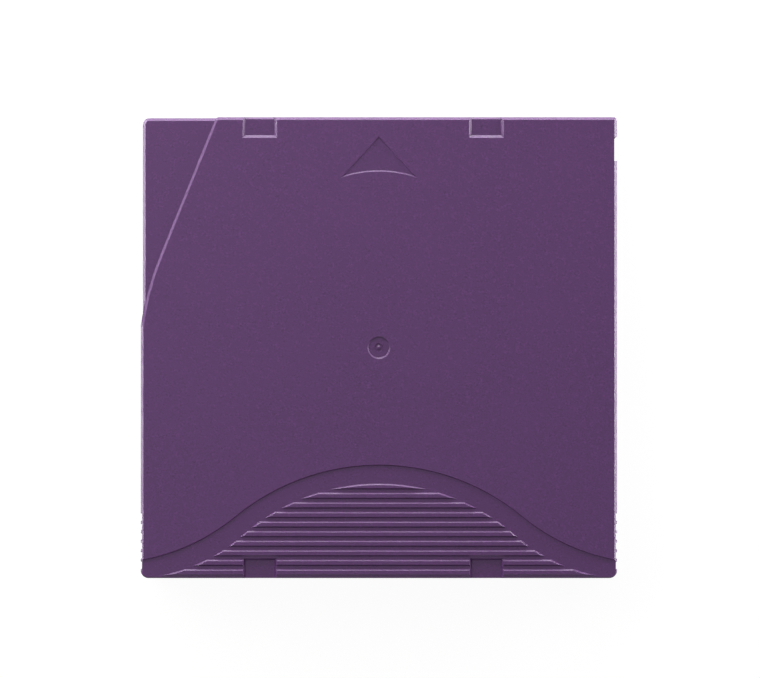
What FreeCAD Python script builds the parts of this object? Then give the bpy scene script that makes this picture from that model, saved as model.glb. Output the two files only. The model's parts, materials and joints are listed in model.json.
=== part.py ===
import FreeCAD, Part
import math
import os
import re
import Sketcher

# Single-reel data tape cartridge. Millimetres, +Z up.
# The origin is on the bottom plane, on the reel's axis. +Y is the end that enters the drive,
# +X is the side with the tape door, and the label end is at -Y.

Vector = FreeCAD.Vector
doc = FreeCAD.newDocument("tape_cartridge")

# ---------------------------------------------------------------- driving dimensions

SIZES = [
    ("case_width", 105.4, "case, side to side"),
    ("case_depth", 102.0, "case, front to label end"),
    ("case_height", 21.5, "case, bottom to top"),
    ("seam_height", 10.75, "joint between the two halves"),
    ("plate", 1.8, "thickness of the roof and the floor"),
    ("wall", 1.8, "thickness of the outer walls"),
    ("edge_bevel", 0.6, "bevel of the outer edges of roof and floor"),
    ("rear_corner", 1.7, "radius of the two label-end corners"),
    ("guide_corner", 1.5, "radius of the front corner on the guide side"),
    ("front_corner", 0.8, "radius of the front corner on the door side"),
    ("guide_drop", 0.32, "how far the insertion guide lies below the roof"),
    ("guide_side", 0.45, "inset of the insertion guide's side wall"),
    ("guide_front", 0.22, "inset of the insertion guide's front wall"),
    ("guide_start", 8.0, "where the guide's side wall is fully inset"),
    ("guide_ease", 0.5, "where the guide's side wall starts to move in"),
    ("sweep_front", -35.44, "guide's swept edge at the front wall"),
    ("sweep_bend", -47.78, "end of the straight stretch of the swept edge, across"),
    ("sweep_bend_y", 20.5, "end of the straight stretch of the swept edge, along"),
    ("sweep_radius", 67.0, "radius of the curved stretch of the swept edge"),
    ("sweep_end_y", 4.34, "swept edge where it meets the side's bevel"),
    ("sweep_slope", 0.55, "width of the slope along the swept edge"),
    ("sweep_ledge", 0.66, "how far the raised roof's block runs past the swept edge"),
    ("ledge_end_y", 4.9, "that block's outline at the side wall"),
    ("plateau_foot", 14.0, "lower end of the raised roof's block"),
    ("seam_bevel", 0.2, "bevel of both halves at their joint"),
    ("notch_left", -26.34, "centre of the notches on the guide side"),
    ("notch_right", 23.8, "centre of the notches on the door side"),
    ("notch_width", 7.65, "width of a handling notch"),
    ("notch_reach", 46.42, "inner end of the handling notches"),
    ("front_notch_depth", 0.5, "depth of a handling notch at the front"),
    ("front_notch_draft", 50.0, "slope of its walls"),
    ("front_notch_bevel", 0.45, "bevel along the front edge of its floor"),
    ("rear_notch_depth", 0.9, "depth of a handling notch at the rear"),
    ("rear_notch_draft", 35.0, "slope of its walls"),
    ("mark_draft", 54.0, "slope of the walls of the arrow and the gate's dimple"),
    ("rib_draft", 47.0, "slope of the ribs' flanks and of the grip relief's edge"),
    ("side_notch_low", 41.3, "door notch, end away from the front"),
    ("side_notch_high", 46.7, "door notch, end near the front"),
    ("side_notch_inset", 0.63, "depth of the door notch"),
    ("arrow_tip", 46.8, "front point of the insertion arrow"),
    ("arrow_base", 37.59, "rear corners of the insertion arrow"),
    ("arrow_half", 8.46, "half width of the insertion arrow"),
    ("arrow_bow", 26.7, "radius of the arrow's curved rear edge"),
    ("arrow_depth", 0.2, "depth of the insertion arrow"),
    ("gate_radius", 2.5, "radius of the moulding gate's dimple"),
    ("gate_ring", 0.95, "radius of the pit in its middle"),
    ("gate_depth", 0.24, "depth of that dimple"),
    ("gate_pip", 0.6, "radius of the pip that the moulding gate leaves in the pit"),
    ("pip_height", 0.3, "height of the pip"),
    ("relief_radius", 50.0, "grip relief, radius of the middle arc"),
    ("relief_apex", -25.9, "grip relief, foremost point of the middle arc"),
    ("relief_turn", 39.5, "grip relief, half angle of the middle arc"),
    ("relief_return", 45.2, "grip relief, radius of the outer arcs"),
    ("relief_depth", 0.3, "grip relief, depth"),
    ("relief_draft", 30.0, "slope of its edge"),
    ("rib_field_radius", 45.78, "rib field, radius of the middle arc"),
    ("rib_field_apex", -30.08, "rib field, foremost point of the middle arc"),
    ("rib_field_turn", 41.5, "rib field, half angle of the middle arc"),
    ("rib_field_return", 38.04, "rib field, radius of the outer arcs"),
    ("rib_first", -31.38, "rear edge of the first rib"),
    ("rib_pitch", 2.118, "pitch of the ribs"),
    ("rib_width", 1.42, "width of a rib at its foot"),
    ("rib_height", 0.3, "height of a rib above the relief"),
    ("serration_front", -36.7, "side grip, front end"),
    ("serration_rear", -49.1, "side grip, rear end"),
    ("serration_depth", 0.27, "side grip, depth"),
    ("serration_first", -38.7, "side grip, first ridge"),
    ("serration_pitch", 2.1, "side grip, pitch of the ridges"),
    ("serration_ridge", 0.6, "side grip, width of a ridge"),
    ("label_left", -33.5, "label recess in the rear wall, end near the write-protect slot"),
    ("label_right", 46.5, "label recess, other end"),
    ("label_low", 2.4, "label recess, margin above and below"),
    ("label_depth", 0.3, "label recess, depth"),
    ("chamber_radius", 49.0, "round chamber for the reel"),
    ("divider_radius", 50.6, "back of the chamber's wall, towards the corners"),
    ("corner_rear", 12.0, "corner hollows, end towards the middle, along"),
    ("corner_inner", 16.0, "corner hollows, end towards the middle, across"),
    ("post_radius", 3.2, "screw post"),
    ("post_side", 46.5, "screw posts, from the middle plane"),
    ("post_front", 45.0, "front screw post, guide side"),
    ("post_rear", -31.5, "rear screw posts"),
    ("post_door", 47.6, "front screw post, door side"),
    ("screw_hole", 1.25, "radius of the clearance hole for a screw"),
    ("screw_thread", 1.2, "radius of a screw's shank"),
    ("screw_head", 2.1, "radius of a screw's head"),
    ("screw_sink", 2.35, "radius of a screw's counterbore"),
    ("screw_seat", 1.6, "depth of a screw's counterbore"),
    ("screw_top", 14.2, "upper end of a screw's shank"),
    ("recess_reach", 1.25, "half length of a bar of the screw's cross recess"),
    ("recess_half", 0.28, "half width of such a bar"),
    ("datum_radius", 2.5, "radius of the round datum hole"),
    ("datum_boss", 4.0, "outer radius of the boss round that hole"),
    ("datum_depth", 6.0, "depth of the datum hole"),
    ("datum_x", 42.0, "datum hole, from the middle plane"),
    ("datum_y", 37.6, "datum hole, towards the front"),
    ("spindle_radius", 18.1, "opening for the drive's spindle"),
    ("spindle_rim", 20.6, "outer radius of the rim round that opening"),
    ("rim_top", 2.4, "top of that rim, on which the reel rests"),
    ("key_half", 4.0, "half length of a bar of the brake's cross-shaped key"),
    ("key_bar", 0.9, "half thickness of a bar of the key"),
    ("key_end", 12.0, "lower end of the key"),
    ("bay_inner", 26.0, "leader pin bay, side towards the middle"),
    ("bay_rear", 25.2, "leader pin bay, rear end"),
    ("bay_front", 44.8, "leader pin bay, front end"),
    ("pin_x", 44.5, "leader pin, across"),
    ("pin_y", 36.0, "leader pin, along"),
    ("pin_head", 1.75, "radius of the leader pin's heads"),
    ("pin_neck", 1.2, "radius of the leader pin between its heads"),
    ("pin_seat", 1.6, "height of the seats that hold the leader pin"),
    ("seat_half", 3.6, "half width of a leader pin seat"),
    ("seat_inner", 40.6, "leader pin seat, side towards the middle"),
    ("seat_outer", 47.4, "leader pin seat, side towards the door"),
    ("door_inner", 50.3, "door, inner face"),
    ("door_outer", 51.5, "door, outer face"),
    ("door_low", 2.4, "door, lower edge"),
    ("door_rear", 24.0, "door, rear edge when shut"),
    ("door_front", 45.4, "door, front edge when shut"),
    ("door_gap", 0.1, "play of the door in its channel"),
    ("door_travel", 17.5, "how far the door slides"),
    ("tab_rear", 43.4, "rear face of the door's tab when shut"),
    ("tab_outer", 52.05, "outer face of the door's tab"),
    ("tab_half", 3.45, "half height of the door's tab"),
    ("window_rear", 25.5, "access window, rear edge"),
    ("window_front", 44.5, "access window, front edge"),
    ("window_low", 2.6, "access window, lower edge"),
    ("spring_axis", 50.9, "axis of the door's spring, across"),
    ("spring_play", 1.1, "radius of the channel for the door's spring"),
    ("spring_stop", -20.0, "rear end of the door's spring"),
    ("shaft_radius", 0.5, "radius of the shaft inside the door's spring"),
    ("shaft_end", 2.0, "rear end of that shaft when the door is shut"),
    ("door_coil", 0.8, "mean radius of the door's spring"),
    ("door_wire", 0.13, "radius of that spring's wire"),
    ("slot_left", -47.6, "write-protect slot, end at the side wall"),
    ("slot_right", -37.4, "write-protect slot, end at the middle"),
    ("slot_low", 5.25, "write-protect slot, lower edge"),
    ("slider_knob", 5.4, "write-protect slider, width of its knob"),
    ("slider_plate", 13.6, "write-protect slider, width of its plate"),
    ("slider_travel", 4.4, "how far the write-protect slider moves"),
    ("slider_thick", 1.2, "thickness of the slider's plate"),
    ("slider_rail", -39.6, "rail behind the slider's plate, end towards the middle"),
    ("slider_back", 46.6, "front face of that rail, from the reel's axis"),
    ("rail_thick", 1.0, "thickness of that rail"),
    ("hub_radius", 22.0, "reel hub, outside"),
    ("hub_bore", 18.6, "reel hub, inside"),
    ("hub_top", 16.55, "top of the reel hub"),
    ("hub_floor", 3.5, "inner floor of the reel hub"),
    ("flange_radius", 48.4, "flanges of the reel"),
    ("flange_edge", 0.8, "thickness of a flange at its edge"),
    ("flange_root", 1.1, "thickness of a flange at the hub"),
    ("gear_inner", 13.0, "reel gear, inner radius"),
    ("gear_outer", 17.5, "reel gear, outer radius"),
    ("gear_tip", 0.5, "tips of the reel gear's teeth"),
    ("gear_teeth", 60, "teeth of the reel gear and of the brake"),
    ("tooth_height", 0.8, "height of a tooth"),
    ("tooth_half", 0.55, "half width of the gap between two teeth"),
    ("lock_inner", 13.6, "lock teeth in the hub, inner radius"),
    ("lock_outer", 17.0, "lock teeth in the hub, outer radius"),
    ("lock_top", 6.2, "top of the lock teeth"),
    ("leg_inner", 14.0, "release plate's legs, inner radius"),
    ("leg_outer", 16.4, "release plate's legs, outer radius"),
    ("leg_half", 1.5, "half width of a leg"),
    ("leg_end", 0.75, "lower end of a leg"),
    ("leg_play", 0.25, "play round a leg"),
    ("release_low", 3.6, "underside of the release plate"),
    ("release_top", 4.8, "top of the release plate"),
    ("release_disc", 7.2, "radius of the release plate's middle"),
    ("arm_half", 2.6, "half width of the release plate's arms"),
    ("brake_disc", 17.4, "radius of the brake button"),
    ("brake_low", 6.3, "underside of the brake button"),
    ("brake_thick", 1.2, "thickness of the brake button's disc"),
    ("brake_tube", 6.4, "outer radius of the brake button's socket"),
    ("brake_tip", 4.85, "tip of the brake button"),
    ("brake_nose", 1.2, "radius of the brake button's tip"),
    ("brake_top", 16.4, "top of the brake button's socket"),
    ("brake_coil", 8.4, "mean radius of the brake spring"),
    ("brake_wire", 0.4, "radius of the brake spring's wire"),
    ("plate_inner", 5.2, "reel plate, inner radius"),
    ("plate_outer", 12.7, "reel plate, outer radius"),
    ("plate_thick", 1.0, "reel plate, thickness"),
    ("plate_top", 1.9, "reel plate, upper face"),
    ("tape_radius", 46.6, "outer radius of the wound tape"),
    ("tape_low", 3.75, "lower edge of the tape"),
    ("tape_width", 12.65, "width of the tape"),
    ("leader_thick", 0.15, "thickness of the leader tape"),
    ("clip_outer", 2.0, "outer radius of the leader pin's clip"),
    ("clip_inner", 1.25, "inner radius of the leader pin's clip"),
    ("board_length", 16.0, "memory board, length"),
    ("board_width", 8.0, "memory board, width"),
    ("board_thick", 0.6, "memory board, thickness"),
    ("board_x", 40.0, "middle of the memory board, across"),
    ("board_foot", -48.6, "lower edge of the memory board's ramp"),
    ("board_ramp", 6.2, "height of the ramp under the memory board"),
    ("chip_side", 3.2, "memory chip, side"),
    ("chip_thick", 0.5, "memory chip, thickness"),
    ("leaf_thick", 0.25, "thickness of the leader pin's leaf springs"),
    ("leaf_root", 38.9, "where a leaf spring is held, along"),
    ("leaf_bend", 46.5, "bend of a leaf spring in front of the pin, across"),
    ("leaf_height", 0.8, "height of those springs"),
]
RIB_ROWS = 10
SERRATIONS = 5
LEGS = 3
DOOR_TURNS = 22
BRAKE_TURNS = 5

sheet = doc.addObject("Spreadsheet::Sheet", "Params")
for row, (alias, value, note) in enumerate(SIZES, 1):
    sheet.set(f"A{row}", note)
    sheet.set(f"B{row}", str(value))
    sheet.setAlias(f"B{row}", alias)
doc.recompute()
ALIASES = {alias for alias, value, note in SIZES}


# ---------------------------------------------------------------- helpers

def bound(text):
    """An expression in the sheet's words, written as an object outside the sheet needs it."""
    return re.sub(r"[a-z]\w+", lambda word: "Params." * (word.group() in ALIASES) + word.group(), str(text))


def size(text):
    """The present value of such an expression."""
    value = sheet.evalExpression(str(text))
    return float(getattr(value, "Value", value))


def new_body(label):
    body = doc.addObject("PartDesign::Body", label)
    body.Label = label
    return body


def new_sketch(body, label, plane="XY_Plane", offset="0"):
    """A sketch on one of the body's own origin planes, moved along the plane's normal."""
    sketch = body.newObject("Sketcher::SketchObject", label)
    support = [feature for feature in body.Origin.OriginFeatures if feature.Role == plane][0]
    sketch.AttachmentSupport = [(support, "")]
    sketch.MapMode = "FlatFace"
    sketch.setExpression("AttachmentOffset.Base.z", bound(offset))
    return sketch


def tie(sketch, kind, place, text):
    """A dimension of the sketch, bound to the sheet."""
    number = sketch.addConstraint(Sketcher.Constraint(kind, *place, size(text)))
    sketch.setExpression(f"Constraints[{number}]", bound(text))


def circle(sketch, x, y, radius):
    where = Vector(size(x), size(y), 0)
    edge = sketch.addGeometry(Part.Circle(where, Vector(0, 0, 1), size(radius)))
    tie(sketch, "DistanceX", (-1, 1, edge, 3), x)
    tie(sketch, "DistanceY", (-1, 1, edge, 3), y)
    tie(sketch, "Radius", (edge,), radius)


def outline(sketch, corners):
    """A closed profile. Each corner is (x, y) or (x, y, radius): the radius bends the edge that leaves it.

    A positive radius bends the edge to the right of its direction of travel, a negative one to the left.
    """
    points = [Vector(size(corner[0]), size(corner[1]), 0) for corner in corners]
    edges = []
    for number, corner in enumerate(corners):
        start = points[number]
        end = points[(number + 1) % len(points)]
        if len(corner) == 2:
            edges.append((sketch.addGeometry(Part.LineSegment(start, end)), 1, 2))
            continue
        radius = size(corner[2])
        chord = end - start
        side = Vector(chord.y, -chord.x, 0).normalize() * math.copysign(1, radius)
        sag = abs(radius) - math.sqrt(max(radius**2 - chord.Length**2 / 4, 0))
        edge = sketch.addGeometry(Part.Arc(start, (start + end) / 2 + side * sag, end))
        begins = sketch.getPoint(edge, 1).distanceToPoint(start) < 1e-6
        edges.append((edge, 1, 2) if begins else (edge, 2, 1))
        if chord.Length < 2 * abs(radius) - 1e-6:
            tie(sketch, "Radius", (edge,), f"abs({corner[2]})")
        else:
            # a half circle, whose centre is level with its ends
            tie(sketch, "DistanceX", (-1, 1, edge, 3), corner[0])
    for number, (edge, first, last) in enumerate(edges):
        following, joins, other = edges[(number + 1) % len(edges)]
        sketch.addConstraint(Sketcher.Constraint("Coincident", edge, last, following, joins))
        tie(sketch, "DistanceX", (-1, 1, edge, first), corners[number][0])
        tie(sketch, "DistanceY", (-1, 1, edge, first), corners[number][1])


def rectangle(sketch, left, right, low, high):
    outline(sketch, [(left, low), (right, low), (right, high), (left, high)])


def feature(body, kind, label, sketch, length, backwards=False, draft="0"):
    """A pad or pocket of the sketch, which has to change the body's volume."""
    before = body.Shape.Volume if not body.Shape.isNull() else 0
    item = body.newObject(f"PartDesign::{kind}", label)
    item.Profile = sketch
    item.setExpression("Length", bound(length))
    item.Reversed = backwards
    if draft != "0":
        item.setExpression("TaperAngle", bound(draft))
    doc.recompute()
    grown = body.Shape.Volume - before
    if abs(grown) < 1e-3 or (grown > 0) != (kind == "Pad"):
        raise RuntimeError(f"{body.Label}.{label} changed the volume by {grown:.3f}")
    return item


def revolve(body, label, corners, kind="Revolution"):
    """Turns a half section of (radius, height) corners about the vertical axis. A groove cuts it away."""
    sketch = new_sketch(body, label + "_section", "XZ_Plane")
    outline(sketch, corners)
    item = body.newObject(f"PartDesign::{kind}", label)
    item.Profile = sketch
    item.ReferenceAxis = (sketch, ["V_Axis"])
    doc.recompute()
    return item


def around(body, label, original, count):
    """Repeats a feature in a circle about the vertical axis."""
    item = body.newObject("PartDesign::PolarPattern", label)
    item.Originals = [original]
    item.Axis = ([axis for axis in body.Origin.OriginFeatures if axis.Role == "Z_Axis"][0], [""])
    item.Angle = 360
    item.Occurrences = int(size(count))
    body.Tip = item
    doc.recompute()
    return item


def coil(label, axis, radius, wire, start, end, turns):
    """A spring along the axis. Each half turn is an arc that leans with the pitch, tangent to the next."""
    rise = (end - start) / (2 * turns)
    reach = math.hypot(radius, rise / 2)
    arcs = []
    for number in range(2 * turns):
        side = 1 if number % 2 == 0 else -1
        height = start + number * rise
        begins = Vector(side * radius, 0, height)
        passes = Vector(0, side * reach, height + rise / 2)
        ends = Vector(-side * radius, 0, height + rise)
        arcs.append(Part.Arc(begins, passes, ends).toShape())
    section = Part.makeCircle(wire, Vector(radius, 0, start), Vector(0, 1, 0))
    item = doc.addObject("Part::Feature", label)
    item.Shape = Part.Wire(arcs).makePipe(Part.Face(Part.Wire([section])))
    item.Placement = axis
    return item


def bevel_edges(body, label, base, height, width="edge_bevel", spared=lambda middle: False):
    """Bevels the edges of the feature that lie flat at the given height, apart from the spared ones."""
    level = size(height)
    names = []
    for number, edge in enumerate(base.Shape.Edges, 1):
        flat = abs(edge.BoundBox.ZMin - level) < 1e-6 and abs(edge.BoundBox.ZMax - level) < 1e-6
        if flat and not spared(edge.CenterOfMass):
            names.append(f"Edge{number}")
    item = body.newObject("PartDesign::Chamfer", label)
    item.Base = (base, names)
    item.setExpression("Size", bound(width))
    doc.recompute()
    return item


# ---------------------------------------------------------------- the case's two halves

SIDE = "case_width/2"
END = "case_depth/2"
ROOF_INSIDE = "(case_height - plate)"
REAR_RIGHT = [
    (f"{SIDE} - rear_corner", f"-{END}", "rear_corner"),
    (SIDE, f"-{END} + rear_corner"),
]
FRONT_RIGHT = [
    (SIDE, f"{END} - front_corner", "front_corner"),
    (f"{SIDE} - front_corner", END),
]
REAR_LEFT = [
    (f"-{SIDE}", f"-{END} + rear_corner", "rear_corner"),
    (f"-{SIDE} + rear_corner", f"-{END}"),
]
# the outline steps in along the insertion guide, at the front of the left side
CASE_OUTLINE = REAR_RIGHT + FRONT_RIGHT + [
    ("sweep_front", END),
    ("sweep_front - sweep_ledge", f"{END} - guide_front"),
    (f"-{SIDE} + guide_side + guide_corner", f"{END} - guide_front", "guide_corner"),
    (f"-{SIDE} + guide_side", f"{END} - guide_front - guide_corner"),
    (f"-{SIDE} + guide_side", "guide_start"),
    (f"-{SIDE}", "guide_ease"),
] + REAR_LEFT
# the raised part of the roof ends at the swept edge
PLATEAU_OUTLINE = REAR_RIGHT + FRONT_RIGHT + [
    ("sweep_front", END),
    ("sweep_front - sweep_ledge", f"{END} - guide_front"),
    ("sweep_bend - sweep_ledge", "sweep_bend_y", "sweep_radius"),
    (f"-{SIDE}", "ledge_end_y"),
] + REAR_LEFT


def corner_pocket(body, label, across, along, depth, upwards, islands):
    """The hollow between the reel chamber's round wall and one corner of the case, with what stands in it."""
    sketch = new_sketch(body, label, offset="seam_height")
    shift = f"{across}*({SIDE} - wall)"
    reach = f"{along}*({END} - wall)"
    turn = -across * along
    corners = [
        (f"{across}*sqrt(divider_radius^2 - corner_rear^2)", f"{along}*corner_rear"),
        (shift, f"{along}*corner_rear"),
        (shift, reach),
        (f"{across}*corner_inner", reach),
        (f"{across}*corner_inner", f"{along}*sqrt(divider_radius^2 - corner_inner^2)",
         f"{turn}*divider_radius"),
    ]
    outline(sketch, corners)
    for island in islands:
        if len(island) == 3:
            circle(sketch, *island)
        else:
            rectangle(sketch, *island)
    feature(body, "Pocket", label + "_cut", sketch, depth, upwards)


def cut_box(body, label, left, right, low, high, level, depth, upwards, draft="0"):
    sketch = new_sketch(body, label, offset=level)
    rectangle(sketch, left, right, low, high)
    feature(body, "Pocket", label + "_cut", sketch, depth, upwards, draft)


def hollow_half(body, upwards):
    """Everything moulded into one half from the seam inwards: chamber, corners, pin bay and door channel."""
    depth = "(seam_height - plate)"
    sketch = new_sketch(body, "chamber", offset="seam_height")
    circle(sketch, 0, 0, "chamber_radius")
    feature(body, "Pocket", "chamber_cut", sketch, depth, upwards)
    cut_box(body, "pin_bay", "bay_inner", "door_inner + 0.3", "bay_rear", "bay_front",
            "seam_height", depth, upwards)
    corner_pocket(body, "guide_corner_hollow", -1, 1, depth, upwards,
                  [("-post_side", "post_front", "post_radius"), ("-datum_x", "datum_y", "datum_boss")])
    corner_pocket(body, "protect_corner_hollow", -1, -1, depth, upwards,
                  [("-post_side", "post_rear", "post_radius"),
                   ("slider_rail - slider_travel", "slider_rail",
                    "-slider_back - rail_thick", "-slider_back")])
    corner_pocket(body, "memory_corner_hollow", 1, -1, depth, upwards,
                  [("post_side", "post_rear", "post_radius")])
    cut_box(body, "door_channel", "door_inner - door_gap", "door_outer + door_gap",
            "door_rear - door_travel - 0.4", "door_front + 0.4",
            "seam_height", "seam_height - door_low + door_gap", upwards)
    cut_box(body, "spring_channel", "spring_axis - spring_play", "spring_axis + spring_play",
            "spring_stop", "door_rear + 0.4", "seam_height", "spring_play", upwards)
    cut_box(body, "access_window", "door_outer - 0.3", f"{SIDE} + 1", "window_rear", "window_front",
            "seam_height", "seam_height - window_low", upwards)
    cut_box(body, "opener_groove", "door_outer - 0.2", f"{SIDE} + 1", "tab_rear - 0.2", f"{END} + 1",
            "seam_height", "tab_half + 0.15", upwards)


def pin_seats(body, hangs):
    """The U-shaped seat that holds one end of the leader pin, open towards the door."""
    level = ROOF_INSIDE if hangs else "plate"
    sketch = new_sketch(body, "pin_seat", offset=level)
    fit = "(pin_head + 0.1)"
    outline(sketch, [
        ("seat_outer", "pin_y + seat_half"),
        ("seat_inner", "pin_y + seat_half"),
        ("seat_inner", "pin_y - seat_half"),
        ("seat_outer", "pin_y - seat_half"),
        ("seat_outer", f"pin_y - {fit}"),
        ("pin_x", f"pin_y - {fit}", f"-{fit}"),
        ("pin_x", f"pin_y + {fit}"),
        ("seat_outer", f"pin_y + {fit}"),
    ])
    feature(body, "Pad", "pin_seat_block", sketch, "pin_seat", hangs)


def outside_marks(body, level, upwards):
    """What both faces of the case carry: handling notches, grip relief with its ribs, and side grips."""
    for label, left in (("guide", "notch_left - notch_width/2"), ("door", "notch_right - notch_width/2")):
        right = f"{left} + notch_width"
        cut_box(body, f"front_notch_{label}", left, right, "notch_reach", f"{END} + 1",
                level, "front_notch_depth", upwards, "-front_notch_draft")
        floor = f"{level} {'+' if upwards else '-'} front_notch_depth"
        slope = "front_notch_depth*tan(front_notch_draft)"
        cut_box(body, f"front_notch_{label}_bevel", f"{left} + {slope}", f"{right} - {slope}",
                f"{END} - front_notch_bevel", f"{END} + 1", floor, "front_notch_bevel + 0.1", upwards, "-45")
    grip_relief(body, level, upwards)
    for label, left in (("guide", "notch_left - notch_width/2"), ("door", "notch_right - notch_width/2")):
        right = f"{left} + notch_width"
        cut_box(body, f"rear_notch_{label}", left, right, f"-{END} - 1", "-notch_reach",
                level, "rear_notch_depth", upwards, "-rear_notch_draft")
    cut_box(body, "door_notch", f"{SIDE} - side_notch_inset", f"{SIDE} + 1", "side_notch_low",
            "side_notch_high", level, "seam_height", upwards)
    cut_box(body, "label_recess", "label_left", "label_right", f"-{END} - 1", f"-{END} + label_depth",
            "seam_height", "seam_height - label_low", not upwards)
    for label, hand in (("guide", -1), ("door", 1)):
        sketch = new_sketch(body, f"side_grip_{label}", offset=level)
        start = "serration_rear"
        for number in range(SERRATIONS - 1, -2, -1):
            ridge = f"(serration_first - {number}*serration_pitch)"
            stop = "serration_front" if number < 0 else f"{ridge} - serration_ridge/2"
            inner = f"{hand}*({SIDE} - serration_depth)"
            outer = f"{hand}*({SIDE} + 1)"
            rectangle(sketch, min(inner, outer, key=size), max(inner, outer, key=size), start, stop)
            start = f"{ridge} + serration_ridge/2"
        feature(body, "Pocket", f"side_grip_{label}_cut", sketch, "seam_height", upwards)


def grip_relief(body, level, upwards):
    """The lowered grip behind an S-shaped edge, and rows of ribs whose ends follow a second such curve."""
    centre = "(relief_apex - relief_radius)"
    turn_x = "relief_radius*sin(relief_turn)"
    turn_y = f"{centre} + relief_radius*cos(relief_turn)"
    return_x = "(relief_radius + relief_return)*sin(relief_turn)"
    return_y = f"({centre} + (relief_radius + relief_return)*cos(relief_turn))"
    edge_x = f"({SIDE} + 1)"
    edge_y = f"{return_y} - sqrt(relief_return^2 - ({edge_x} - {return_x})^2)"
    sketch = new_sketch(body, "grip_relief", offset=level)
    outline(sketch, [
        (f"-{edge_x}", edge_y, "relief_return"),
        (f"-{turn_x}", turn_y, "-relief_radius"),
        (turn_x, turn_y, "relief_return"),
        (edge_x, edge_y),
        (edge_x, f"-{END} - 1"),
        (f"-{edge_x}", f"-{END} - 1"),
    ])
    feature(body, "Pocket", "grip_relief_cut", sketch, "relief_depth", upwards, "-relief_draft")
    floor = f"{level} {'+' if upwards else '-'} relief_depth"
    sketch = new_sketch(body, "grip_ribs", offset=floor)
    middle = "(rib_field_apex - rib_field_radius)"
    far_x = "((rib_field_radius + rib_field_return)*sin(rib_field_turn))"
    far_y = f"({middle} + (rib_field_radius + rib_field_return)*cos(rib_field_turn))"
    bend_y = size(f"{middle} + rib_field_radius*cos(rib_field_turn)")
    for number in range(RIB_ROWS):
        rear = f"(rib_first - {number}*rib_pitch)"
        front = f"({rear} + rib_width)"
        ends = []
        for line in (rear, front):
            if size(line) > bend_y:
                ends.append(f"sqrt(max(rib_field_radius^2 - ({line} - {middle})^2; 0.01))")
            else:
                ends.append(f"{far_x} - sqrt(rib_field_return^2 - ({line} - {far_y})^2)")
        if size(front) > size("rib_field_apex"):
            outline(sketch, [
                (f"-({ends[0]})", rear, "-rib_field_radius"),
                (ends[0], rear),
            ])
            continue
        outer = size(rear) < bend_y
        bend = "-rib_field_return" if outer else "rib_field_radius"
        outline(sketch, [
            (f"-({ends[0]})", rear),
            (ends[0], rear, bend),
            (ends[1], front),
            (f"-({ends[1]})", front, bend),
        ])
    feature(body, "Pad", "grip_ribs_pad", sketch, "rib_height", upwards, "-rib_draft")


def screw_holes(body, level, radius, depth, upwards):
    sketch = new_sketch(body, f"screw_holes_{radius}", offset=level)
    for x, y in SCREWS:
        circle(sketch, x, y, radius)
    feature(body, "Pocket", f"screw_holes_{radius}_cut", sketch, depth, upwards)


SCREWS = [
    ("-post_side", "post_front"),
    ("post_side", "post_door"),
    ("-post_side", "post_rear"),
    ("post_side", "post_rear"),
]

plateau = new_body("roof_plateau")
sketch = new_sketch(plateau, "plateau_outline", offset="plateau_foot")
outline(sketch, PLATEAU_OUTLINE)
block = feature(plateau, "Pad", "plateau_block", sketch, "case_height - plateau_foot")
bevel_edges(plateau, "plateau_bevel", block, "case_height",
            spared=lambda middle: middle.x < size("sweep_front") - 1 and middle.y > 0)

upper_case = new_body("upper_case")
sketch = new_sketch(upper_case, "case_outline", offset="seam_height")
outline(sketch, CASE_OUTLINE)
block = feature(upper_case, "Pad", "shoulder_block", sketch, "case_height - guide_drop - seam_height")
block = bevel_edges(upper_case, "shoulder_bevel", block, "case_height - guide_drop")
bevel_edges(upper_case, "upper_seam_bevel", block, "seam_height", "seam_bevel")
joined = upper_case.newObject("PartDesign::Boolean", "raised_roof")
joined.setObjects([plateau])
joined.Type = "Fuse"
doc.recompute()

# the insertion guide: everything in front of the swept edge drops to the shoulder
sketch = new_sketch(upper_case, "insertion_guide", offset="case_height")
outline(sketch, [
    ("sweep_front + 4*(sweep_front - sweep_bend)/(case_depth/2 - sweep_bend_y)", f"{END} + 4"),
    ("sweep_bend", "sweep_bend_y", "sweep_radius"),
    (f"-{SIDE} + edge_bevel", "sweep_end_y"),
    (f"-{SIDE} - 3", "sweep_end_y"),
    (f"-{SIDE} - 3", f"{END} + 4"),
])
sweep_draft = "-atan(sweep_slope/guide_drop)"
feature(upper_case, "Pocket", "insertion_guide_cut", sketch, "guide_drop", False, sweep_draft)
outside_marks(upper_case, "case_height", False)

sketch = new_sketch(upper_case, "insertion_arrow", offset="case_height")
outline(sketch, [
    ("arrow_half", "arrow_base"),
    (0, "arrow_tip"),
    ("-arrow_half", "arrow_base", "-arrow_bow"),
])
feature(upper_case, "Pocket", "insertion_arrow_cut", sketch, "arrow_depth", False, "-mark_draft")
PIT_FLOOR = "case_height - 1.5*gate_depth"
revolve(upper_case, "moulding_gate", [
    (0, "case_height"), ("gate_radius", "case_height"),
    ("gate_radius - gate_depth*tan(mark_draft)", "case_height - gate_depth"),
    ("gate_ring", "case_height - gate_depth"), ("gate_ring - gate_depth/2", PIT_FLOOR),
    ("gate_pip", PIT_FLOOR), ("gate_pip/5", f"{PIT_FLOOR} + pip_height"), (0, f"{PIT_FLOOR} + pip_height"),
], "Groove")

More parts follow.
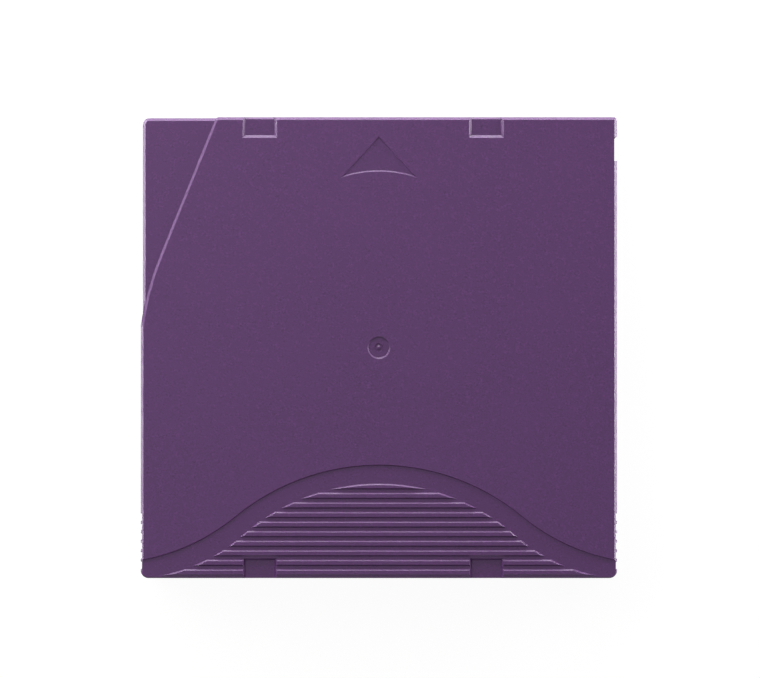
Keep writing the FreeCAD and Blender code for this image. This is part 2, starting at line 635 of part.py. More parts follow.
hollow_half(upper_case, True)
pin_seats(upper_case, True)
sketch = new_sketch(upper_case, "brake_key", offset=ROOF_INSIDE)
outline(sketch, [
    ("key_half", "-key_bar"), ("key_half", "key_bar"), ("key_bar", "key_bar"), ("key_bar", "key_half"),
    ("-key_bar", "key_half"), ("-key_bar", "key_bar"), ("-key_half", "key_bar"), ("-key_half", "-key_bar"),
    ("-key_bar", "-key_bar"), ("-key_bar", "-key_half"), ("key_bar", "-key_half"), ("key_bar", "-key_bar"),
])
feature(upper_case, "Pad", "brake_key_post", sketch, f"{ROOF_INSIDE} - key_end", True)
screw_holes(upper_case, "seam_height", "screw_thread", "screw_top + 0.3 - seam_height", True)

lower_case = new_body("lower_case")
sketch = new_sketch(lower_case, "case_outline", offset="0")
outline(sketch, CASE_OUTLINE)
block = feature(lower_case, "Pad", "floor_block", sketch, "seam_height")
block = bevel_edges(lower_case, "floor_bevel", block, "0")
bevel_edges(lower_case, "lower_seam_bevel", block, "seam_height", "seam_bevel")
outside_marks(lower_case, "0", True)
hollow_half(lower_case, False)
pin_seats(lower_case, False)
sketch = new_sketch(lower_case, "spindle_rim", offset="plate")
circle(sketch, 0, 0, "spindle_rim")
feature(lower_case, "Pad", "spindle_rim_ring", sketch, "rim_top - plate")
sketch = new_sketch(lower_case, "spindle_opening", offset="0")
circle(sketch, 0, 0, "spindle_radius")
feature(lower_case, "Pocket", "spindle_opening_cut", sketch, "rim_top + 1", True)
cut_box(lower_case, "protect_slot", "slot_left", "slot_right", f"-{END} - 1", f"-{END} + wall + 0.2",
        "seam_height", "seam_height - slot_low", False)
screw_holes(lower_case, "seam_height", "screw_hole", "seam_height + 1", False)
screw_holes(lower_case, "0", "screw_sink", "screw_seat", True)
sketch = new_sketch(lower_case, "datum_hole", offset="0")
circle(sketch, "-datum_x", "datum_y", "datum_radius")
feature(lower_case, "Pocket", "datum_hole_cut", sketch, "datum_depth", True)
sketch = new_sketch(lower_case, "board_ramp", "YZ_Plane", "board_x - board_length/2 + 2")
outline(sketch, [
    ("board_foot", "plate"),
    ("board_foot + board_ramp", "plate"),
    ("board_foot + board_ramp", "plate + board_ramp"),
])
feature(lower_case, "Pad", "board_ramp_block", sketch, "board_length - 4")

# ---------------------------------------------------------------- door, slider and screws

door = new_body("door")
sketch = new_sketch(door, "door_panel", offset="door_low")
rectangle(sketch, "door_inner", "door_outer", "door_rear", "door_front")
feature(door, "Pad", "door_panel_plate", sketch, "case_height - 2*door_low")
sketch = new_sketch(door, "door_tab", offset="seam_height - tab_half")
rectangle(sketch, "door_outer - 0.5", "tab_outer", "tab_rear", "door_front")
feature(door, "Pad", "door_tab_block", sketch, "2*tab_half")
sketch = new_sketch(door, "door_shaft", "XZ_Plane", "-door_rear - 0.2")
circle(sketch, "spring_axis", "seam_height", "shaft_radius")
feature(door, "Pad", "door_shaft_rod", sketch, "door_rear + 0.2 - shaft_end")

spring_line = FreeCAD.Placement(
    Vector(size("spring_axis"), size("spring_stop"), size("seam_height")),
    FreeCAD.Rotation(Vector(1, 0, 0), -90))
door_spring = coil("door_spring", spring_line, size("door_coil"), size("door_wire"),
                   size("door_wire"), size("door_rear - spring_stop - door_wire"), DOOR_TURNS)

slider = new_body("write_protect_tab")
knob_left = "(slot_left + 0.2)"
plate_left = "(slot_left - slider_plate/2 + slider_knob/2 + 1.5)"
sketch = new_sketch(slider, "slider_plate", offset="plate + 0.15")
rectangle(sketch, plate_left, f"{plate_left} + slider_plate",
          f"-{END} + wall + 0.1", f"-{END} + wall + 0.1 + slider_thick")
feature(slider, "Pad", "slider_plate_block", sketch, "seam_height - plate - 0.3")
sketch = new_sketch(slider, "slider_knob", offset="slot_low + 0.15")
rectangle(sketch, knob_left, f"{knob_left} + slider_knob", f"-{END} + 0.25", f"-{END} + wall + 0.3")
feature(slider, "Pad", "slider_knob_block", sketch, "seam_height - slot_low - 0.3")

screw = new_body("screw")
revolve(screw, "screw_blank", [
    (0, "0.3"), ("screw_head - 0.25", "0.3"), ("screw_head", "0.6"), ("screw_head", "screw_seat"),
    ("screw_thread", "screw_seat"), ("screw_thread", "screw_top - 1"), (0, "screw_top"),
])
for label, along, across in (("first", "recess_reach", "recess_half"),
                             ("second", "recess_half", "recess_reach")):
    cut_box(screw, f"{label}_recess", f"-{along}", along, f"-{across}", across, "0.3", "0.8", True)
case_screws = doc.addObject("Part::Feature", "case_screws")
case_screws.Shape = Part.makeCompound([
    screw.Shape.translated(Vector(size(x), size(y), 0)) for x, y in SCREWS
])

# ---------------------------------------------------------------- reel

reel_hub = new_body("reel_hub")
revolve(reel_hub, "hub_and_flange", [
    (0, "plate_top"), ("gear_inner", "plate_top"), ("gear_inner", "gear_tip"), ("gear_outer", "gear_tip"),
    ("gear_outer", "rim_top"), ("flange_radius", "rim_top"), ("flange_radius", "rim_top + flange_edge"),
    ("hub_radius", "rim_top + flange_root"), ("hub_radius", "hub_top"), ("hub_bore", "hub_top"),
    ("hub_bore", "hub_floor"), ("lock_outer", "hub_floor"), ("lock_outer", "lock_top"),
    ("lock_inner", "lock_top"), ("lock_inner", "hub_floor"), (0, "hub_floor"),
])
sketch = new_sketch(reel_hub, "gear_notch", "YZ_Plane", "gear_inner - 0.5")
outline(sketch, [("-tooth_half", "gear_tip"), ("tooth_half", "gear_tip"), (0, "gear_tip + tooth_height")])
notch = feature(reel_hub, "Pocket", "gear_notch_cut", sketch, "gear_outer - gear_inner + 1", True)
around(reel_hub, "gear_teeth", notch, "gear_teeth")
sketch = new_sketch(reel_hub, "lock_notch", "YZ_Plane", "lock_inner - 0.2")
outline(sketch, [("-tooth_half", "lock_top"), ("tooth_half", "lock_top"), (0, "lock_top - tooth_height")])
notch = feature(reel_hub, "Pocket", "lock_notch_cut", sketch, "lock_outer - lock_inner + 0.4", True)
around(reel_hub, "lock_teeth", notch, "gear_teeth")
sketch = new_sketch(reel_hub, "arm_gap", offset="hub_floor")
rectangle(sketch, "lock_inner - 1", "lock_outer + 0.5", "-arm_half - 0.5", "arm_half + 0.5")
gap = feature(reel_hub, "Pocket", "arm_gap_cut", sketch, "lock_top", True)
around(reel_hub, "arm_gaps", gap, LEGS)
sketch = new_sketch(reel_hub, "leg_hole", offset="0")
rectangle(sketch, "leg_inner - leg_play", "leg_outer + leg_play",
          "-leg_half - leg_play", "leg_half + leg_play")
hole = feature(reel_hub, "Pocket", "leg_hole_cut", sketch, "hub_floor + 1", True)
around(reel_hub, "leg_holes", hole, LEGS)

reel_upper_flange = new_body("reel_upper_flange")
revolve(reel_upper_flange, "flange_disc", [
    ("hub_bore", "hub_top"), ("hub_radius + 0.6", "hub_top"),
    ("flange_radius", "hub_top + flange_root - flange_edge"), ("flange_radius", "hub_top + flange_root"),
    ("hub_bore", "hub_top + flange_root"),
])

reel_plate = new_body("reel_plate")
revolve(reel_plate, "plate_ring", [
    ("plate_inner", "plate_top - plate_thick"), ("plate_outer", "plate_top - plate_thick"),
    ("plate_outer", "plate_top"), ("plate_inner", "plate_top"),
])

tape_pack = new_body("tape_pack")
revolve(tape_pack, "wound_tape", [
    ("hub_radius", "tape_low"), ("tape_radius", "tape_low"),
    ("tape_radius", "tape_low + tape_width"), ("hub_radius", "tape_low + tape_width"),
])

# ---------------------------------------------------------------- reel brake

release_plate = new_body("release_plate")
sketch = new_sketch(release_plate, "release_disc", offset="release_low")
circle(sketch, 0, 0, "release_disc")
feature(release_plate, "Pad", "release_disc_plate", sketch, "release_top - release_low")
sketch = new_sketch(release_plate, "release_arm", offset="release_low")
rectangle(sketch, 0, "leg_outer", "-arm_half", "arm_half")
arm = feature(release_plate, "Pad", "release_arm_plate", sketch, "release_top - release_low")
around(release_plate, "release_arms", arm, LEGS)
sketch = new_sketch(release_plate, "release_leg", offset="release_low + 0.2")
rectangle(sketch, "leg_inner", "leg_outer", "-leg_half", "leg_half")
leg = feature(release_plate, "Pad", "release_leg_block", sketch, "release_low + 0.2 - leg_end", True)
around(release_plate, "release_legs", leg, LEGS)

brake_button = new_body("brake_button")
revolve(brake_button, "brake_blank", [
    (0, "brake_tip"), ("brake_nose", "brake_tip"), ("2*brake_nose", "brake_low - 0.6"),
    ("brake_tube", "brake_low - 0.6"),
    ("brake_tube + 0.6", "brake_low"), ("brake_disc", "brake_low"), ("brake_disc", "brake_low + brake_thick"),
    ("brake_tube", "brake_low + brake_thick"), ("brake_tube", "brake_top"), (0, "brake_top"),
])
sketch = new_sketch(brake_button, "key_socket", offset="brake_top")
reach = "(key_half + 0.2)"
half = "(key_bar + 0.15)"
outline(sketch, [
    (reach, f"-{half}"), (reach, half), (half, half), (half, reach), (f"-{half}", reach), (f"-{half}", half),
    (f"-{reach}", half), (f"-{reach}", f"-{half}"), (f"-{half}", f"-{half}"), (f"-{half}", f"-{reach}"),
    (half, f"-{reach}"), (half, f"-{half}"),
])
feature(brake_button, "Pocket", "key_socket_cut", sketch, "brake_top - brake_low - 1.2")
sketch = new_sketch(brake_button, "brake_tooth", "YZ_Plane", "lock_inner + 0.3")
slope = "(tooth_half/tooth_height)"
tip = "(lock_top - tooth_height + 0.1)"
outline(sketch, [
    (0, tip),
    (f"{slope}*(brake_low + 0.1 - {tip})", "brake_low + 0.1"),
    (f"-{slope}*(brake_low + 0.1 - {tip})", "brake_low + 0.1"),
])
tooth = feature(brake_button, "Pad", "brake_tooth_block", sketch, "lock_outer - lock_inner - 0.6")
around(brake_button, "brake_teeth", tooth, "gear_teeth")

brake_spring = coil("brake_spring", FreeCAD.Placement(), size("brake_coil"), size("brake_wire"),
                    size("brake_low + brake_thick + brake_wire + 0.05"),
                    size(f"{ROOF_INSIDE} - brake_wire - 0.05"), BRAKE_TURNS)

# ---------------------------------------------------------------- leader pin and tape

PIN_LOW = "(plate + 0.1)"
PIN_HIGH = f"({ROOF_INSIDE} - 0.1)"
at_pin = FreeCAD.Placement(Vector(size("pin_x"), size("pin_y"), 0), FreeCAD.Rotation())
leader_pin = new_body("leader_pin")
revolve(leader_pin, "pin_turned", [
    (0, PIN_LOW), ("pin_head - 0.3", PIN_LOW), ("pin_head", f"{PIN_LOW} + 0.3"),
    ("pin_head", f"{PIN_LOW} + 1.2"), ("pin_neck", f"{PIN_LOW} + 1.5"), ("pin_neck", f"{PIN_HIGH} - 1.5"),
    ("pin_head", f"{PIN_HIGH} - 1.2"), ("pin_head", f"{PIN_HIGH} - 0.3"), ("pin_head - 0.3", PIN_HIGH),
    (0, PIN_HIGH),
])
leader_pin.Placement = at_pin

clip = new_body("leader_pin_clip")
sketch = new_sketch(clip, "clip_section", "XZ_Plane")
rectangle(sketch, "clip_inner", "clip_outer", "tape_low + 0.5", "tape_low + tape_width - 0.5")
item = clip.newObject("PartDesign::Revolution", "clip_sleeve")
item.Profile = sketch
item.ReferenceAxis = (sketch, ["V_Axis"])
item.Angle = 290
clip.Placement = FreeCAD.Placement(at_pin.Base, FreeCAD.Rotation(Vector(0, 0, 1), 200))

pin_reach = math.hypot(size("pin_x"), size("pin_y"))
tangent = size("tape_radius + 0.1 + leader_thick")
span = math.sqrt(pin_reach**2 - tangent**2)
leader_angle = math.degrees(math.atan2(size("pin_y"), size("pin_x")) + math.acos(tangent / pin_reach)) - 90
leader_tape = doc.addObject("Part::Box", "leader_tape")
leader_tape.Length = span - size("clip_outer") - 0.05
leader_tape.setExpression("Width", bound("leader_thick"))
leader_tape.setExpression("Height", bound("tape_width"))
turn = FreeCAD.Rotation(Vector(0, 0, 1), leader_angle)
foot = turn.multVec(Vector(0, tangent - size("leader_thick"), size("tape_low")))
leader_tape.Placement = FreeCAD.Placement(foot, turn)

for label, level, upwards in (("lower_pin_spring", "plate + pin_seat + 0.05", False),
                              ("upper_pin_spring", f"{ROOF_INSIDE} - pin_seat - 0.05", True)):
    spring = new_body(label)
    sketch = new_sketch(spring, label + "_strip", offset=level)
    outline(sketch, [
        ("seat_inner + 0.2", "leaf_root + leaf_thick"),
        ("seat_inner + 0.2", "leaf_root"),
        ("leaf_bend", "pin_y + 0.5"),
        ("leaf_bend + 0.3", "pin_y - 0.5"),
        ("leaf_bend + 0.3 + leaf_thick", "pin_y - 0.5"),
        ("leaf_bend + leaf_thick", "pin_y + 0.5 + leaf_thick"),
    ])
    feature(spring, "Pad", label + "_leaf", sketch, "leaf_height", upwards)

# ---------------------------------------------------------------- cartridge memory

tilt = FreeCAD.Rotation(Vector(1, 0, 0), 45)
board_corner = Vector(size("board_x - board_length/2"), size("board_foot"), size("plate + 0.02"))
memory_board = doc.addObject("Part::Box", "memory_board")
memory_board.setExpression("Length", bound("board_length"))
memory_board.setExpression("Width", bound("board_width"))
memory_board.setExpression("Height", bound("board_thick"))
memory_board.Placement = FreeCAD.Placement(board_corner, tilt)
memory_chip = doc.addObject("Part::Box", "memory_chip")
memory_chip.setExpression("Length", bound("chip_side"))
memory_chip.setExpression("Width", bound("chip_side"))
memory_chip.setExpression("Height", bound("chip_thick"))
chip_corner = Vector(
    size("(board_length - chip_side)/2"), size("(board_width - chip_side)/2"), size("board_thick"))
memory_chip.Placement = FreeCAD.Placement(board_corner + tilt.multVec(chip_corner), tilt)

# ---------------------------------------------------------------- checks and files

doc.recompute()
PIECES = [
    upper_case, lower_case, case_screws, door, door_spring, slider,
    reel_hub, reel_upper_flange, reel_plate, tape_pack,
    release_plate, brake_button, brake_spring,
    leader_pin, clip, leader_tape, doc.lower_pin_spring, doc.upper_pin_spring,
    memory_board, memory_chip,
]
for item in doc.Objects:
    if "Invalid" in item.State or "Error" in item.State:
        raise RuntimeError(f"{item.Label} failed: {item.State}")
for piece in PIECES:
    if piece.Shape.isNull() or not piece.Shape.isValid():
        raise RuntimeError(f"{piece.Label} has no valid shape")

os.makedirs("parts", exist_ok=True)
for piece in PIECES:
    piece.Shape.exportStep(f"parts/{piece.Label}.step")
    print(f"{piece.Label:20s} {len(piece.Shape.Solids)} solid(s) {piece.Shape.Volume:10.1f} mm3")
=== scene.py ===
import json

import bpy
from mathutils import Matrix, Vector

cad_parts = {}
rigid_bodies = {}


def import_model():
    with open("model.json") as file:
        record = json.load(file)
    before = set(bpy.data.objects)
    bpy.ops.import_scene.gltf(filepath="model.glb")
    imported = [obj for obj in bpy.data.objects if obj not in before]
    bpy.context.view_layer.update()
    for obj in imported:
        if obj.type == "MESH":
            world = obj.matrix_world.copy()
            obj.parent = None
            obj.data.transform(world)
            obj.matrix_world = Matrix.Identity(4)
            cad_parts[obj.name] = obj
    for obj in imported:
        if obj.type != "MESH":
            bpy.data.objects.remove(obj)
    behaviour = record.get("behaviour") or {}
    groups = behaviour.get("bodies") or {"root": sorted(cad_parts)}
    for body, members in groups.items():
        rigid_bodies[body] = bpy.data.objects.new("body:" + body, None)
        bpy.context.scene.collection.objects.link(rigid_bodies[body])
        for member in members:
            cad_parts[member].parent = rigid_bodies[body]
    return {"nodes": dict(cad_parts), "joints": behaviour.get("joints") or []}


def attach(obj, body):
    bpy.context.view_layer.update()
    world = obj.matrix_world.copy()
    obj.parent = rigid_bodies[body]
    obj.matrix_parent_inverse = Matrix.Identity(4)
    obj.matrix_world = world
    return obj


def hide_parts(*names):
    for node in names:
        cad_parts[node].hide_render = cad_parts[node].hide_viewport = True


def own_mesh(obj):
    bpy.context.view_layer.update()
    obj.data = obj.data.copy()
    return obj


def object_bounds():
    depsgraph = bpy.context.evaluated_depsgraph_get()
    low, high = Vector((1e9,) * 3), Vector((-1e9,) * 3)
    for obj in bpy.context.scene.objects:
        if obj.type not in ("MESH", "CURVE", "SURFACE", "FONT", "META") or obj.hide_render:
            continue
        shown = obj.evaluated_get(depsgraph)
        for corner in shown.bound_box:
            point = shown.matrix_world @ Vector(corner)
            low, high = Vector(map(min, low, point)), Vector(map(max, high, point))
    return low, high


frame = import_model()
cad_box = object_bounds()

NODES = frame["nodes"]
LOW, HIGH = (Vector(corner) for corner in cad_box)
MM = 0.001

# The noise values that a finish spreads over its whole range; those beyond them are clamped.
NOISE = (0.3, 0.7)
SOFT_NOISE = (0.35, 0.65)


# ---------------------------------------------------------------- shader helpers

class Shader:
    """A material under construction: nodes are added by type, and sockets are set or linked by name."""

    def __init__(self, name):
        self.material = bpy.data.materials.new(name)
        self.material.use_nodes = True
        self.tree = self.material.node_tree
        self.tree.nodes.clear()
        self.output = self.tree.nodes.new("ShaderNodeOutputMaterial")
        self.coordinates = self.tree.nodes.new("ShaderNodeTexCoord").outputs["Object"]

    def node(self, kind, **settings):
        """Adds a node. A setting is a socket to link from, or a value for a socket or a property."""
        item = self.tree.nodes.new("ShaderNode" + kind)
        for name, value in settings.items():
            if name in item.bl_rna.properties and name not in item.inputs:
                setattr(item, name, value)
        for name, value in settings.items():
            key = int(name[1:]) if name[0] == "_" else name.replace("_", " ")
            if isinstance(key, str) and key not in item.inputs:
                continue
            if isinstance(value, bpy.types.NodeSocket):
                self.tree.links.new(value, item.inputs[key])
            else:
                item.inputs[key].default_value = value
        return item

    def noise(self, size, detail=2.0, roughness=0.5, stretch=(1, 1, 1)):
        """Noise whose features are about the given size in metres."""
        place = self.node("Mapping", Vector=self.coordinates, Scale=stretch)
        return self.node("TexNoise", Vector=place.outputs[0], Scale=1 / size, Detail=detail,
                         Roughness=roughness).outputs["Fac"]

    def span(self, value, low, high, to_low, to_high):
        """Maps one range of values to another, clamped."""
        item = self.node("MapRange", Value=value)
        for name, number in (("From Min", low), ("From Max", high), ("To Min", to_low), ("To Max", to_high)):
            item.inputs[name].default_value = number
        return item.outputs[0]

    def blend(self, factor, first, second):
        """Mixes two colours, each a socket or three linear values."""
        item = self.tree.nodes.new("ShaderNodeMix")
        item.data_type = "RGBA"
        self.tree.links.new(factor, item.inputs[0])
        for number, colour in ((6, first), (7, second)):
            if isinstance(colour, bpy.types.NodeSocket):
                self.tree.links.new(colour, item.inputs[number])
            else:
                item.inputs[number].default_value = (*colour, 1)
        return item.outputs[2]

    def bump(self, height, depth, below=None):
        """A bump of the given depth in metres, laid over an earlier one."""
        item = self.node("Bump", Height=height, Distance=depth)
        if below:
            self.tree.links.new(below, item.inputs["Normal"])
        return item.outputs[0]

    def surface(self, **sockets):
        """Ends the material with a principled shader, and returns it."""
        item = self.node("BsdfPrincipled", **sockets)
        self.tree.links.new(item.outputs[0], self.output.inputs["Surface"])
        return self.material


def tone(red, green, blue):
    """A linear colour from the 0 to 255 values that it should show."""
    def linear(value):
        value /= 255
        return value / 12.92 if value <= 0.04045 else ((value + 0.055) / 1.055) ** 2.4
    return tuple(linear(value) for value in (red, green, blue))


def shade(colour, factor):
    """The colour made darker or lighter, all channels alike."""
    return tuple(channel * factor for channel in colour)


# ---------------------------------------------------------------- materials

def moulded_plastic(name, colour, grain=0.45 * MM, grain_depth=0.016 * MM, roughness=0.37):
    """Spark-textured moulded plastic: fine grain, a little mottle in colour and gloss."""
    pit_size, pit_depth = 1.4 * grain, 0.3 * grain_depth
    blot_size, cloud_size = 3.2 * grain, 18 * MM
    dark_speck, light_speck = shade(colour, 0.64), shade(colour, 1.38)
    dark_blot, pale_cloud = shade(colour, 0.94), shade(colour, 1.06)
    cloud_share = 0.35

    s = Shader(name)
    grit = s.noise(grain, detail=2.5, roughness=0.6)
    pits = s.node("TexVoronoi", Vector=s.coordinates, Scale=1 / pit_size, feature="SMOOTH_F1",
                  Randomness=1.0).outputs["Distance"]
    cloud = s.noise(cloud_size, detail=3)
    blot = s.noise(blot_size, detail=2)
    base = s.blend(s.span(grit, *NOISE, 0.0, 1.0), dark_speck, light_speck)
    base = s.blend(s.span(blot, *SOFT_NOISE, 0.0, 1.0), dark_blot, base)
    base = s.blend(s.span(cloud, *SOFT_NOISE, 0.0, cloud_share), base, pale_cloud)
    gloss = s.span(grit, *NOISE, roughness - 0.06, roughness + 0.08)
    relief = s.bump(grit, grain_depth)
    relief = s.bump(pits, pit_depth, relief)
    return s.surface(Base_Color=base, Roughness=gloss, Normal=relief, Specular_IOR_Level=0.5)


def smooth_resin(name, colour, roughness=0.35, cloudy=0.0):
    """Natural engineering resin: soft gloss, faint flow marks and, where cloudy, light passing in."""
    flow_size, flow_stretch = 3 * MM, (1, 1, 3)
    ripple_size, ripple_depth = 0.35 * MM, 0.006 * MM
    light_reach = (0.8 * MM, 0.7 * MM, 0.6 * MM)

    s = Shader(name)
    flow = s.noise(flow_size, detail=3, stretch=flow_stretch)
    base = s.blend(s.span(flow, *NOISE, 0.0, 1.0), shade(colour, 0.95), shade(colour, 1.03))
    gloss = s.span(flow, *NOISE, roughness - 0.05, roughness + 0.07)
    relief = s.bump(s.noise(ripple_size), ripple_depth)
    settings = {"Base_Color": base, "Roughness": gloss, "Normal": relief}
    if cloudy:
        settings["Subsurface_Weight"] = cloudy
        settings["Subsurface_Radius"] = light_reach
    return s.surface(**settings)


def drawn_steel(name, colour, roughness=0.28, brush=(1, 1, 1), brush_size=0.25 * MM):
    """Bright steel with fine marks along the way it was drawn, rolled or turned."""
    stain_size, mark_depth = 4 * MM, 0.004 * MM

    s = Shader(name)
    marks = s.noise(brush_size, detail=4, roughness=0.65, stretch=brush)
    stain = s.noise(stain_size, detail=2)
    base = s.blend(s.span(stain, *SOFT_NOISE, 0.0, 1.0), shade(colour, 0.93), colour)
    gloss = s.span(marks, *NOISE, roughness - 0.08, roughness + 0.12)
    relief = s.bump(marks, mark_depth)
    return s.surface(Base_Color=base, Roughness=gloss, Normal=relief, Metallic=1.0)


def wound_tape(name):
    """The edge of a tape pack: hair-fine rings about the reel's axis, in broader bands."""
    ring_width, ring_depth, band_width = 0.22 * MM, 0.01 * MM, 2.6 * MM

    s = Shader(name)
    across = s.node("VectorMath", operation="MULTIPLY", _0=s.coordinates, _1=(1, 1, 0)).outputs[0]
    radius = s.node("VectorMath", operation="LENGTH", _0=across).outputs["Value"]
    spread = s.node("CombineXYZ", X=radius).outputs[0]
    rings = s.node("TexNoise", Vector=spread, Scale=1 / ring_width, Detail=4.0, Roughness=0.7).outputs["Fac"]
    bands = s.node("TexNoise", Vector=spread, Scale=1 / band_width, Detail=2.0).outputs["Fac"]
    base = s.blend(s.span(rings, *NOISE, 0.0, 1.0), tone(24, 20, 19), tone(48, 42, 40))
    base = s.blend(s.span(bands, 0.4, 0.62, 0.0, 0.5), base, tone(60, 50, 46))
    gloss = s.span(rings, *NOISE, 0.22, 0.4)
    return s.surface(Base_Color=base, Roughness=gloss, Normal=s.bump(rings, ring_depth))


def circuit_board(name):
    """Green solder resist, raised and lighter over an antenna's straight tracks."""
    track_pitch, track_height = 4.5 * MM, 0.03 * MM

    s = Shader(name)
    waves = s.node("TexWave", Vector=s.coordinates, Scale=1 / track_pitch, bands_direction="X",
                   Distortion=0.0).outputs["Fac"]
    tracks = s.span(waves, 0.55, 0.62, 0.0, 1.0)
    base = s.blend(tracks, tone(22, 74, 40), tone(46, 112, 58))
    return s.surface(Base_Color=base, Roughness=0.3, Normal=s.bump(tracks, track_height))


PURPLE = tone(84, 45, 98)
WHITE_RESIN = tone(222, 220, 214)
STEEL = tone(196, 194, 190)


def dress_nodes():
    """Gives every carried-over solid its finish."""
    case = moulded_plastic("case_plastic", PURPLE)
    spring = drawn_steel("spring_steel", shade(STEEL, 0.8), 0.25, brush_size=0.1 * MM)
    reel = smooth_resin("reel_resin", WHITE_RESIN, 0.38, 0.08)
    finishes = {
        case: ["upper_case", "lower_case"],
        moulded_plastic("door_plastic", shade(PURPLE, 0.96), grain=0.2 * MM, grain_depth=0.009 * MM,
                        roughness=0.42): ["door"],
        moulded_plastic("slider_plastic", tone(186, 38, 34), grain=0.2 * MM, grain_depth=0.008 * MM,
                        roughness=0.4): ["write_protect_tab"],
        drawn_steel("screw_steel", shade(STEEL, 0.72), 0.36, brush_size=0.15 * MM): ["case_screws"],
        drawn_steel("pin_steel", STEEL, 0.16, brush=(1, 1, 12)): ["leader_pin"],
        drawn_steel("plate_steel", shade(STEEL, 0.92), 0.34, brush=(1, 6, 1)): ["reel_plate"],
        spring: ["door_spring", "brake_spring", "lower_pin_spring", "upper_pin_spring"],
        reel: ["reel_hub", "reel_upper_flange"],
        smooth_resin("brake_resin", tone(205, 203, 198), 0.42): ["brake_button", "release_plate"],
        smooth_resin("clip_resin", tone(186, 182, 172), 0.3): ["leader_pin_clip"],
        smooth_resin("leader_film", tone(176, 170, 158), 0.22): ["leader_tape"],
        wound_tape("magnetic_tape"): ["tape_pack"],
        circuit_board("solder_resist"): ["memory_board"],
        smooth_resin("chip_resin", tone(28, 28, 30), 0.5): ["memory_chip"],
    }
    for material, names in finishes.items():
        for name in names:
            slots = NODES[name].data.materials
            slots.clear()
            slots.append(material)


def shorten_with_joints():
    """Stand-ins for the springs and the leader: each is a copy held by its joint's parent body, and the
    carried-over solid is hidden.
    """
    for joint in frame["joints"]:
        for rule in joint.get("deforming_nodes", []):
            node = rule["node"]
            letter = rule["mode"][-1]
            number = "xyz".index(letter)
            fixed_end = rule[f"fixed_end_{letter}_m"]
            axis, anchor = Vector(), Vector()
            axis[number] = 1
            anchor[number] = fixed_end
            piece = bpy.data.objects.new(node + "_flex", NODES[node].data.copy())
            piece.matrix_world = NODES[node].matrix_world
            bpy.context.scene.collection.objects.link(piece)
            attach(piece, joint["parent"])
            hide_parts(node)
            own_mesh(piece)


# ---------------------------------------------------------------- stage, lights and camera

def in_sight(tree):
    """A socket that is 1 for what the camera sees, straight, mirrored or through glass, and else 0."""
    path = tree.nodes.new("ShaderNodeLightPath")
    seen = path.outputs["Is Camera Ray"]
    for ray in ("Is Glossy Ray", "Is Transmission Ray"):
        either = tree.nodes.new("ShaderNodeMath")
        either.operation = "MAXIMUM"
        tree.links.new(seen, either.inputs[0])
        tree.links.new(path.outputs[ray], either.inputs[1])
        seen = either.outputs[0]
    return seen


def white_floor():
    """A floor that looks white by its own glow, and is matte enough under it to keep a soft shadow."""
    reach, gap = 3.0, 0.02 * MM
    glow_share, matte_grey = 0.955, 0.1

    mesh = bpy.data.meshes.new("floor")
    corners = [(-reach, -reach, 0), (reach, -reach, 0), (reach, reach, 0), (-reach, reach, 0)]
    mesh.from_pydata(corners, [], [(0, 1, 2, 3)])
    floor = bpy.data.objects.new("floor", mesh)
    floor.location.z = LOW.z - gap
    bpy.context.scene.collection.objects.link(floor)

    s = Shader("floor_white")
    strength = s.node("Math", operation="MULTIPLY", _0=in_sight(s.tree), _1=glow_share)
    glow = s.node("Emission", Strength=strength.outputs[0])
    matte = s.node("BsdfDiffuse", Color=(matte_grey, matte_grey, matte_grey, 1))
    both = s.node("AddShader", _0=glow.outputs[0], _1=matte.outputs[0])
    s.tree.links.new(both.outputs[0], s.output.inputs["Surface"])
    mesh.materials.append(s.material)


def white_surround():
    """A world that looks white where it is in sight, and otherwise gives only a faint fill."""
    fill_strength = 0.06

    world = bpy.data.worlds.new("surround")
    world.use_nodes = True
    bpy.context.scene.world = world
    tree = world.node_tree
    tree.nodes.clear()
    white = tree.nodes.new("ShaderNodeBackground")
    fill = tree.nodes.new("ShaderNodeBackground")
    fill.inputs["Strength"].default_value = fill_strength
    mix = tree.nodes.new("ShaderNodeMixShader")
    tree.links.new(in_sight(tree), mix.inputs[0])
    tree.links.new(fill.outputs[0], mix.inputs[1])
    tree.links.new(white.outputs[0], mix.inputs[2])
    output = tree.nodes.new("ShaderNodeOutputWorld")
    tree.links.new(mix.outputs[0], output.inputs["Surface"])


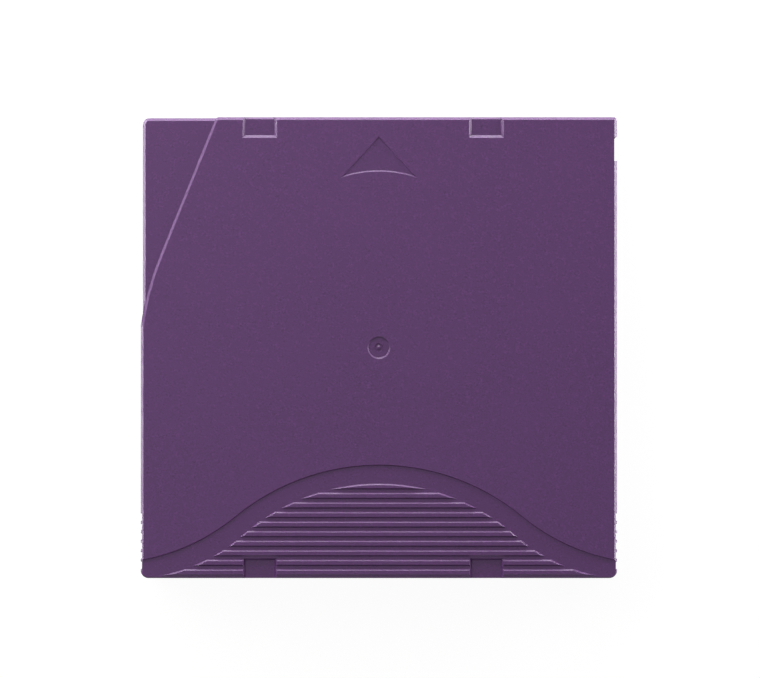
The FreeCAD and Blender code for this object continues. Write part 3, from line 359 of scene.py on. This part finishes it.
def softbox(name, place, aim, width, height, power, glare=True):
    """A lamp, in metres and watts. Without glare it lights the object but isn't mirrored in it."""
    lamp = bpy.data.lights.new(name, "AREA")
    lamp.shape = "RECTANGLE"
    lamp.size = width
    lamp.size_y = height
    lamp.energy = power
    item = bpy.data.objects.new(name, lamp)
    item.location = place
    item.rotation_euler = (Vector(aim) - Vector(place)).to_track_quat("-Z", "Y").to_euler()
    item.visible_glossy = glare
    bpy.context.scene.collection.objects.link(item)


def lights():
    """Low lamps beyond the front end and both sides, where the bright edges on the case say they stand.

    Dim fills between them soften the slopes, and a faint one shows the rear wall. A wide key lamp lights the
    roof.
    """
    middle = (0, 0, HIGH.z)
    softbox("front_strip", (-0.05, 0.50, 0.035), middle, 0.8, 0.05, 1.5)
    softbox("front_panel", (-0.05, 0.60, 0.17), middle, 0.5, 0.26, 2.1)
    softbox("front_fill", (-0.10, 0.55, 0.20), middle, 0.4, 0.2, 1.5, glare=False)
    softbox("left_strip", (-0.48, 0.20, 0.035), middle, 0.6, 0.05, 3.4)
    softbox("right_strip", (0.48, 0.20, 0.035), middle, 0.6, 0.05, 4.7)
    softbox("left_fill", (-0.46, 0.26, 0.13), middle, 0.3, 0.1, 0.7, glare=False)
    softbox("right_fill", (0.46, 0.26, 0.13), middle, 0.3, 0.1, 0.6, glare=False)
    softbox("rear_fill", (0.12, -0.55, 0.03), middle, 0.5, 0.05, 0.7, glare=False)
    softbox("key_box", (-0.38, 0.34, 0.60), middle, 0.7, 0.7, 3.2)


def camera():
    """Straight down from far off, a little towards the front of the case's middle."""
    view_width = 168.13 * MM
    distance = 1.6
    offset = Vector((0.24, 1.91, 0)) * MM
    lens = bpy.data.cameras.new("photo_camera")
    lens.sensor_width = 36
    lens.lens = lens.sensor_width * (distance - HIGH.z) / view_width
    lens.clip_end = 10
    item = bpy.data.objects.new("photo_camera", lens)
    item.location = offset + Vector((0, 0, distance))
    bpy.context.scene.collection.objects.link(item)
    bpy.context.scene.camera = item
    bpy.context.scene.view_settings.view_transform = "Standard"


dress_nodes()
shorten_with_joints()
white_floor()
white_surround()
lights()
camera()
